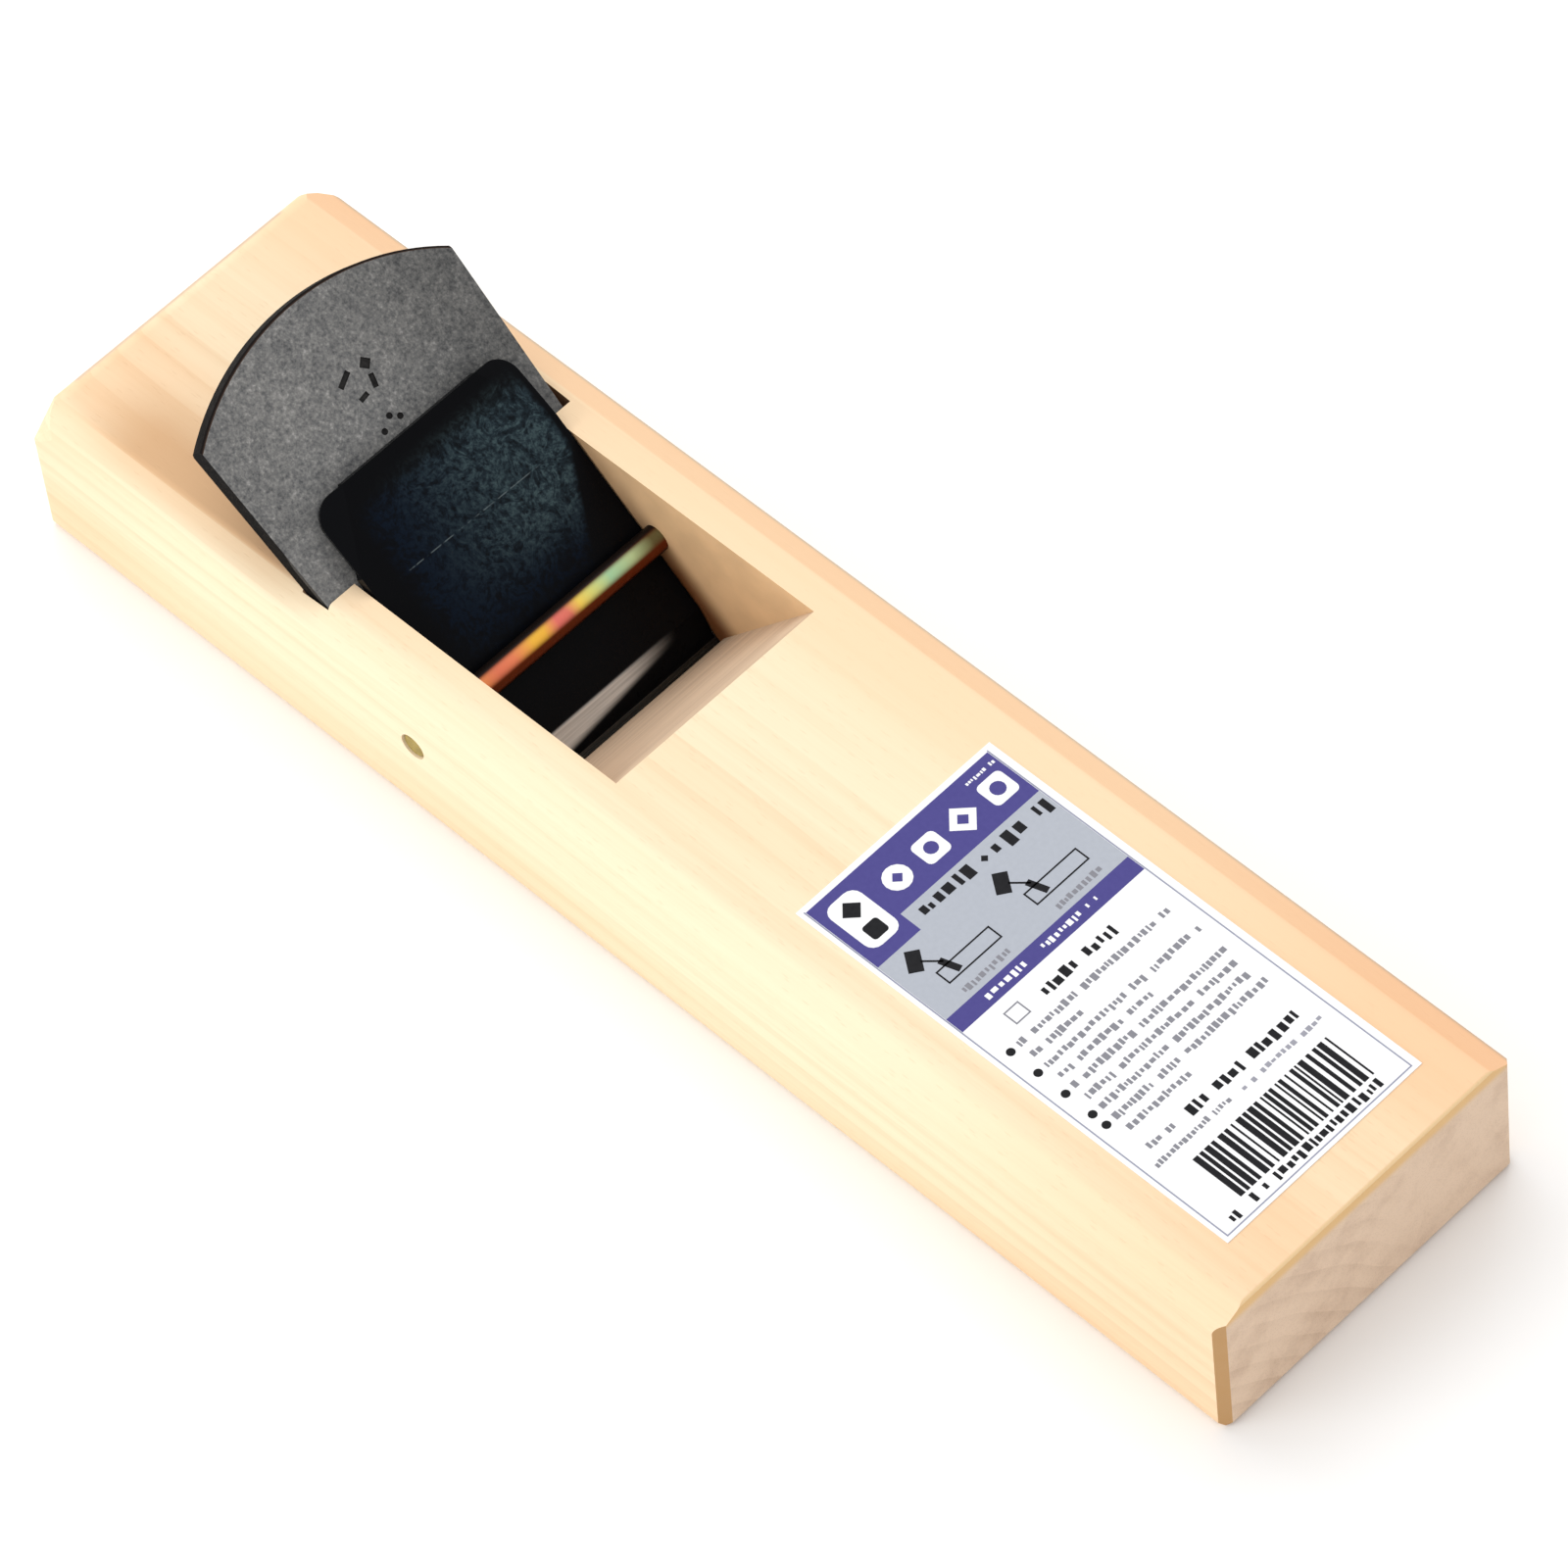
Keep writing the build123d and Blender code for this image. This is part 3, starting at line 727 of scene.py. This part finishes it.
# ---- label printing: thin closed shapes on the paper, in millimetres of the CAD frame ----
# The print reads along +Y with its top towards -X. Words are stood for by rows of plain blocks.
LAYER = 0.012 * MM
SUNK = 0.006 * MM
PRINT_LEFT = -16.1
PRINT_RIGHT = 16.3
BADGE_RIGHT = -8.5
HEADING_TOP = 26.2  # the fields' edges along X, from the top of the print down
HEADING_END = 35.1
BADGE_END = 38.6
PANEL_END = 50.2
BAND_END = 53.0
CORNER_STEPS = 4
BLOCK_WIDTH = (0.22, 0.62)  # these are shares of a row's height
BLOCK_GAP = (0.14, 0.30)
WORD_GAP = 0.7
WORD_CHANCE = 0.10
FILL_SPREAD = 0.2
WANDER = 0.1
FIRST_ROW = 59.4
ROW_PITCH = 2.29
ROW_START = -12.9
ROW_ENDS = (14.3, -3.3, 14.4, 3.8, 13.8, 13.9, 13.7, 14.5, -1.8)
BULLET_ROWS = (59.4, 64.0, 68.6, 73.1, 75.4)
DRAWING_PITCH = 15.6
BAR_UNIT = 0.29
BAR_WIDTHS = (1, 1, 2, 2, 3, 3)
BAR_GAPS = (1, 1, 1, 1, 2)
BORDER_TOP = 26.0
BORDER_END = 97.3
BORDER_SIDES = (-16.35, 16.55)
BORDER_WIDTH = 0.2


def bar(x0, x1, y0, y1):
    return [(x0, y0), (x1, y0), (x1, y1), (x0, y1)]


def stroke(x, y, length, width, degrees):
    """A bar about its middle, its length turned from +X."""
    c, s = cos(radians(degrees)), sin(radians(degrees))
    corners = ((-length, -width), (length, -width), (length, width), (-length, width))
    return [(x + (a * c - b * s) / 2, y + (a * s + b * c) / 2) for a, b in corners]


def disc(x, y, radius, sides=16):
    turns = [2 * pi * i / sides for i in range(sides)]
    return [(x + radius * cos(turn), y + radius * sin(turn)) for turn in turns]


def round_bar(x0, x1, y0, y1, radius):
    """A bar with rounded corners."""
    points = []
    for cx, cy, start in ((x1, y1, 0), (x0, y1, 90), (x0, y0, 180), (x1, y0, 270)):
        middle_x = cx - radius if cx == x1 else cx + radius
        middle_y = cy - radius if cy == y1 else cy + radius
        for step in range(CORNER_STEPS + 1):
            a = radians(start + 90 * step / CORNER_STEPS)
            points.append((middle_x + radius * cos(a), middle_y + radius * sin(a)))
    return points


def outline(x0, x1, y0, y1, width):
    """Four bars along the inside of a rectangle."""
    return [bar(x0, x1, y0, y0 + width), bar(x0, x1, y1 - width, y1),
            bar(x0, x0 + width, y0 + width, y1 - width), bar(x1 - width, x1, y0 + width, y1 - width)]


def ink(name, material, shapes, layer=1):
    """Prints shapes as one piece whose top lies that many layers above the paper."""
    bottom = LABEL_HIGH.z - SUNK + LAYER * (layer - 1)
    top = LABEL_HIGH.z + LAYER * layer
    points, faces = [], []
    for shape in shapes:
        first, count = len(points), len(shape)
        points += [(x * MM, y * MM, bottom) for x, y in shape]
        points += [(x * MM, y * MM, top) for x, y in shape]
        faces.append([first + count - 1 - i for i in range(count)])
        faces.append([first + count + i for i in range(count)])
        for i in range(count):
            j = (i + 1) % count
            faces.append([first + i, first + j, first + count + j, first + count + i])
    mesh = bpy.data.meshes.new(name)
    mesh.from_pydata(points, [], faces)
    piece = bpy.data.objects.new(name, mesh)
    bpy.context.scene.collection.objects.link(piece)
    mesh.materials.append(material)
    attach(piece, "stock")


def filler_row(rng, x, y0, y1, height, fill=0.6):
    """A row of small solid blocks of chance sizes that stands for printed words; it spells nothing."""
    shapes = []
    y = y0
    while y < y1 - height * 0.3:
        wide = height * rng.uniform(*BLOCK_WIDTH)
        tall = height * rng.uniform(fill - FILL_SPREAD, fill + FILL_SPREAD)
        middle = x + height * rng.uniform(-WANDER, WANDER)
        shapes.append(bar(middle - tall / 2, middle + tall / 2, y, y + wide))
        y += wide + height * rng.uniform(*BLOCK_GAP)
        if rng.random() < WORD_CHANCE:
            y += height * WORD_GAP
    return shapes


def filler_rows(rng, *rows):
    """Several such rows, each given as its place along X, its two ends, its height and its fill."""
    return [block for row in rows for block in filler_row(rng, *row)]


def diamond(x, y, radius):
    return disc(x, y, radius, 4)


def barcode(rng, x0, x1, y0, y1):
    """Upright bars of chance widths; they encode nothing."""
    shapes = []
    y = y0
    while y < y1 - 3 * BAR_UNIT:
        wide = BAR_UNIT * rng.choice(BAR_WIDTHS)
        shapes.append(bar(x0, x1, y, y + wide))
        y += wide + BAR_UNIT * rng.choice(BAR_GAPS)
    return shapes


def plane_drawing(shift_y):
    """A small picture of a mallet beside a plane: mallet head, handle, stock outline and iron."""
    shapes = [stroke(41.3, -12.5 + shift_y, 3.3, 2.0, -35)]
    shapes.append(stroke(42.9, -11.0 + shift_y, 2.8, 0.3, 42))
    shapes += outline(44.4, 46.9, -12.0 + shift_y, -2.6 + shift_y, 0.24)
    shapes.append(stroke(44.9, -9.9 + shift_y, 3.0, 1.0, 18))
    return shapes


def print_heading(rng, inks):
    """A violet field with white signs and a rounded badge, a grey field and a violet band."""
    ink("label_heading", inks["violet"], [
        bar(HEADING_TOP, HEADING_END, BADGE_RIGHT, PRINT_RIGHT),
        bar(HEADING_TOP, BADGE_END, PRINT_LEFT, BADGE_RIGHT),
        bar(PANEL_END, BAND_END, PRINT_LEFT, PRINT_RIGHT)])
    ink("label_panel", inks["grey"], [
        bar(HEADING_END, PANEL_END, BADGE_RIGHT, PRINT_RIGHT),
        bar(BADGE_END, PANEL_END, PRINT_LEFT, BADGE_RIGHT)])
    signs = [disc(31.0, -4.8, 2.0), round_bar(29.0, 33.0, -0.8, 3.2, 0.8), diamond(31.0, 6.9, 2.4)]
    signs += [round_bar(28.9, 33.1, 11.1, 15.3, 0.8), round_bar(27.7, 36.6, -14.8, -9.4, 1.6)]
    ink("label_signs", inks["white"], signs, layer=2)
    small = filler_rows(rng, (27.7, 10.9, 15.8, 0.9), (51.6, -10.5, -3.0, 1.5), (51.6, -0.5, 10.5, 1.3))
    ink("label_small_signs", inks["white"], small, layer=2)
    middles = [diamond(31.0, -4.8, 0.9), disc(31.0, 1.2, 1.0), diamond(31.0, 6.9, 1.0), disc(31.0, 13.2, 1.1)]
    ink("label_sign_middles", inks["violet"], middles, layer=3)
    badge = [diamond(30.2, -12.1, 1.6), round_bar(33.0, 35.6, -13.4, -10.8, 0.5)]
    ink("label_badge_marks", inks["black"], badge, layer=3)


def print_panel(rng, inks):
    """A row of marks and two small drawings with their captions, on the grey field."""
    marks = filler_rows(rng, (37.0, -6.6, -4.4, 1.7, 0.7), (37.1, -4.0, 3.0, 2.5, 0.75))
    marks.append(diamond(37.1, 4.4, 0.6))
    marks += filler_rows(rng, (37.0, 6.0, 7.6, 1.7, 0.7), (37.1, 8.0, 15.6, 2.5, 0.75))
    ink("label_size_line", inks["black"], marks, layer=2)
    ink("label_drawings", inks["black"], plane_drawing(0.0) + plane_drawing(DRAWING_PITCH), layer=2)
    captions = filler_rows(rng, (48.9, -11.6, -3.4, 1.2, 0.7), (48.9, 5.0, 13.5, 1.2, 0.7))
    ink("label_captions", inks["soft_black"], captions, layer=2)


def print_text(rng, inks):
    """A heading row, bulleted rows, and small rows below them."""
    ink("label_text_heading", inks["black"], filler_row(rng, 56.3, -5.3, 9.4, 1.9, 0.75))
    ink("label_heading_mark", inks["soft_black"], outline(54.8, 57.2, -10.9, -8.3, 0.22))
    ink("label_bullets", inks["black"], [disc(x, -14.3, 0.62) for x in BULLET_ROWS])
    rows = [(FIRST_ROW + ROW_PITCH * i, ROW_START, end, 1.35, 0.66) for i, end in enumerate(ROW_ENDS)]
    ink("label_rows", inks["soft_black"], filler_rows(rng, *rows))
    ink("label_maker_row", inks["black"], filler_row(rng, 81.6, -6.4, 13.4, 1.9, 0.75))
    small = filler_rows(rng, (81.4, -13.3, -8.6, 1.1, 0.75), (84.0, -14.7, -1.2, 1.0, 0.75))
    ink("label_small_rows", inks["soft_black"], small)
    ink("label_faint_row", inks["faint"], filler_row(rng, 84.2, 0.4, 14.5, 1.2, 0.5))


def print_bars(rng, inks):
    """The bars, the marks under them and the thin border."""
    ink("label_bars", inks["black"], barcode(rng, 86.6, 94.6, -11.1, 13.5))
    marks = filler_rows(rng, (95.85, -14.3, -13.0, 1.6, 0.75), (95.85, -10.4, 13.0, 1.6, 0.75))
    ink("label_bar_marks", inks["black"], marks)
    left, right = BORDER_SIDES
    ink("label_border", inks["line"], [
        bar(BORDER_TOP, BORDER_END, left, left + BORDER_WIDTH),
        bar(BORDER_TOP, BORDER_END, right - BORDER_WIDTH, right),
        bar(BORDER_END - BORDER_WIDTH, BORDER_END, left + BORDER_WIDTH, right - BORDER_WIDTH)])


def print_label():
    rng = random.Random(7)
    inks = {name: printed("ink_" + name, colour) for name, colour in INKS.items()}
    for part in (print_heading, print_panel, print_text, print_bars):
        part(rng, inks)


def set_material(node, material):
    """Gives a CAD node its material."""
    piece = frame["nodes"][node]
    piece.data.materials.clear()
    piece.data.materials.append(material)


make_camera()
make_light()
make_floor()
set_material("stock", wood_material())
set_material("iron_body", forged_iron())
set_material("iron_steel", edge_steel())
set_material("chip_breaker", dark_steel())
set_material("cross_pin", plated_pin())
set_material("label", printed("label_paper", PAPER_WHITE))
print_label()
